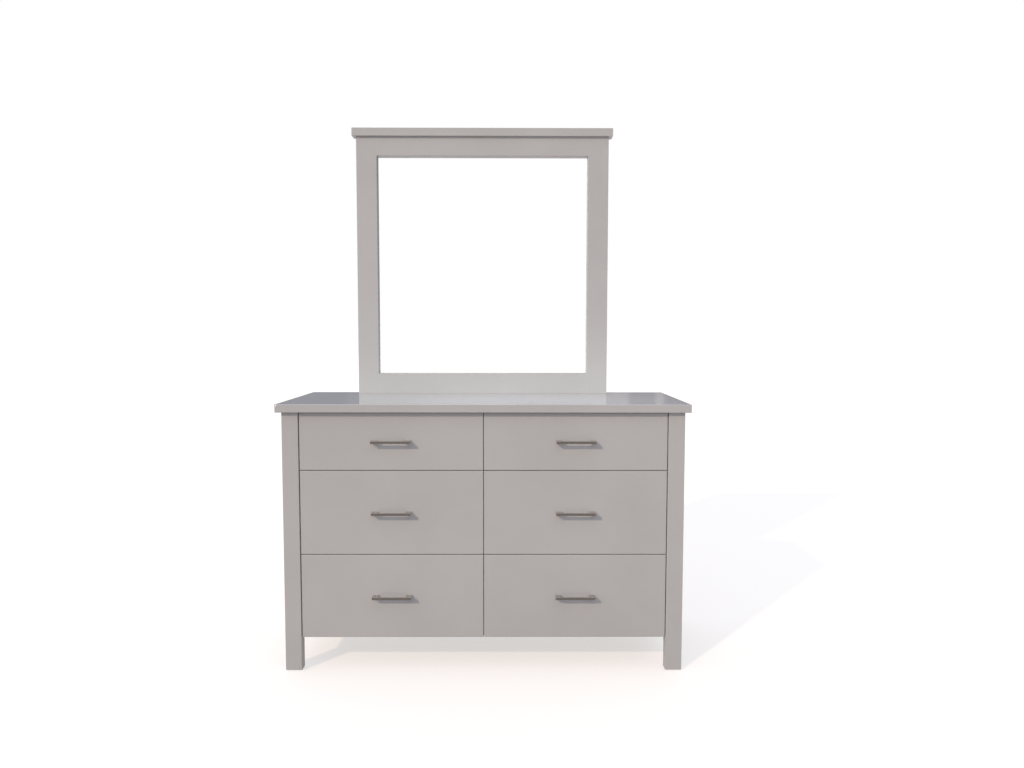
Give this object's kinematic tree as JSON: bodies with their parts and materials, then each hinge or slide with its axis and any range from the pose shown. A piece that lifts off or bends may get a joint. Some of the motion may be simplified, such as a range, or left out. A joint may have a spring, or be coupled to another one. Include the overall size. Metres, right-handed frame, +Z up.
{
  "type": "dresser with mirror",
  "caption": "Wide chest of drawers on square legs, with drawers on ball-bearing runners, bar handles and a framed mirror standing on its top.",
  "frame": {"origin": "on the floor, at the middle of the bounding box", "axes": "+Z up, the drawers open towards -Y, +X to the right of someone facing the drawers"},
  "size_m": [1.2, 0.4564, 1.67],
  "materials": {
    "painted_mdf": "satin sprayed paint, warm light grey",
    "pine": "planed, unpainted",
    "birch_plywood": "sanded and clear sealed",
    "hardboard": "pressed, smooth",
    "mirror_glass": "silvered float glass",
    "brushed_nickel": "brushed",
    "zinc_plated_steel": "rolled and zinc plated",
    "nylon": "moulded"
  },
  "bodies": {
    "case": {"back_panel": "hardboard", "bottom_front_rail": "pine", "case_runners": "zinc_plated_steel", "case_screws": "zinc_plated_steel", "centre_divider": "pine", "drawer_rails": "pine", "foot_glides": "nylon", "front_left_post": "painted_mdf", "front_right_post": "painted_mdf", "glazing_beads": "pine", "left_side_panel": "painted_mdf", "mirror_backing": "hardboard", "mirror_battens": "pine", "mirror_bottom_rail": "painted_mdf", "mirror_crown": "painted_mdf", "mirror_glass": "mirror_glass", "mirror_left_stile": "painted_mdf", "mirror_right_stile": "painted_mdf", "mirror_top_rail": "painted_mdf", "rear_left_post": "painted_mdf", "rear_rails": "pine", "rear_right_post": "painted_mdf", "right_side_panel": "painted_mdf", "runner_packers": "pine", "top_brackets": "zinc_plated_steel", "top_front_rail": "pine", "top_panel": "painted_mdf"},
    "bottom_left_drawer": {"bottom_left_drawer_front": "painted_mdf", "bottom_left_drawer_box": "birch_plywood", "bottom_left_handle": "brushed_nickel", "bottom_left_drawer_runners": "zinc_plated_steel"},
    "bottom_left_runner_middles": {"bottom_left_middle_runners": "zinc_plated_steel"},
    "bottom_right_drawer": {"bottom_right_drawer_front": "painted_mdf", "bottom_right_drawer_box": "birch_plywood", "bottom_right_handle": "brushed_nickel", "bottom_right_drawer_runners": "zinc_plated_steel"},
    "bottom_right_runner_middles": {"bottom_right_middle_runners": "zinc_plated_steel"},
    "middle_left_drawer": {"middle_left_drawer_front": "painted_mdf", "middle_left_drawer_box": "birch_plywood", "middle_left_handle": "brushed_nickel", "middle_left_drawer_runners": "zinc_plated_steel"},
    "middle_left_runner_middles": {"middle_left_middle_runners": "zinc_plated_steel"},
    "middle_right_drawer": {"middle_right_drawer_front": "painted_mdf", "middle_right_drawer_box": "birch_plywood", "middle_right_handle": "brushed_nickel", "middle_right_drawer_runners": "zinc_plated_steel"},
    "middle_right_runner_middles": {"middle_right_middle_runners": "zinc_plated_steel"},
    "top_left_drawer": {"top_left_drawer_front": "painted_mdf", "top_left_drawer_box": "birch_plywood", "top_left_handle": "brushed_nickel", "top_left_drawer_runners": "zinc_plated_steel"},
    "top_left_runner_middles": {"top_left_middle_runners": "zinc_plated_steel"},
    "top_right_drawer": {"top_right_drawer_front": "painted_mdf", "top_right_drawer_box": "birch_plywood", "top_right_handle": "brushed_nickel", "top_right_drawer_runners": "zinc_plated_steel"},
    "top_right_runner_middles": {"top_right_middle_runners": "zinc_plated_steel"}
  },
  "joints": [
    {"name": "bottom_left_drawer_slide", "type": "slide", "parent": "case", "child": "bottom_left_drawer", "axis": [0, -1, 0], "range_m": [0, 0.33]},
    {"name": "bottom_left_runner_slide", "type": "slide", "parent": "case", "child": "bottom_left_runner_middles", "axis": [0, -1, 0], "range_m": [0, 0.165]},
    {"name": "bottom_right_drawer_slide", "type": "slide", "parent": "case", "child": "bottom_right_drawer", "axis": [0, -1, 0], "range_m": [0, 0.33]},
    {"name": "bottom_right_runner_slide", "type": "slide", "parent": "case", "child": "bottom_right_runner_middles", "axis": [0, -1, 0], "range_m": [0, 0.165]},
    {"name": "middle_left_drawer_slide", "type": "slide", "parent": "case", "child": "middle_left_drawer", "axis": [0, -1, 0], "range_m": [0, 0.33]},
    {"name": "middle_left_runner_slide", "type": "slide", "parent": "case", "child": "middle_left_runner_middles", "axis": [0, -1, 0], "range_m": [0, 0.165]},
    {"name": "middle_right_drawer_slide", "type": "slide", "parent": "case", "child": "middle_right_drawer", "axis": [0, -1, 0], "range_m": [0, 0.33]},
    {"name": "middle_right_runner_slide", "type": "slide", "parent": "case", "child": "middle_right_runner_middles", "axis": [0, -1, 0], "range_m": [0, 0.165]},
    {"name": "top_left_drawer_slide", "type": "slide", "parent": "case", "child": "top_left_drawer", "axis": [0, -1, 0], "range_m": [0, 0.33]},
    {"name": "top_left_runner_slide", "type": "slide", "parent": "case", "child": "top_left_runner_middles", "axis": [0, -1, 0], "range_m": [0, 0.165]},
    {"name": "top_right_drawer_slide", "type": "slide", "parent": "case", "child": "top_right_drawer", "axis": [0, -1, 0], "range_m": [0, 0.33]},
    {"name": "top_right_runner_slide", "type": "slide", "parent": "case", "child": "top_right_runner_middles", "axis": [0, -1, 0], "range_m": [0, 0.165]}
  ],
  "couplings": [
    {"joint": "bottom_left_runner_slide", "follows": "bottom_left_drawer_slide", "ratio": 0.5},
    {"joint": "bottom_right_runner_slide", "follows": "bottom_right_drawer_slide", "ratio": 0.5},
    {"joint": "middle_left_runner_slide", "follows": "middle_left_drawer_slide", "ratio": 0.5},
    {"joint": "middle_right_runner_slide", "follows": "middle_right_drawer_slide", "ratio": 0.5},
    {"joint": "top_left_runner_slide", "follows": "top_left_drawer_slide", "ratio": 0.5},
    {"joint": "top_right_runner_slide", "follows": "top_right_drawer_slide", "ratio": 0.5}
  ]
}
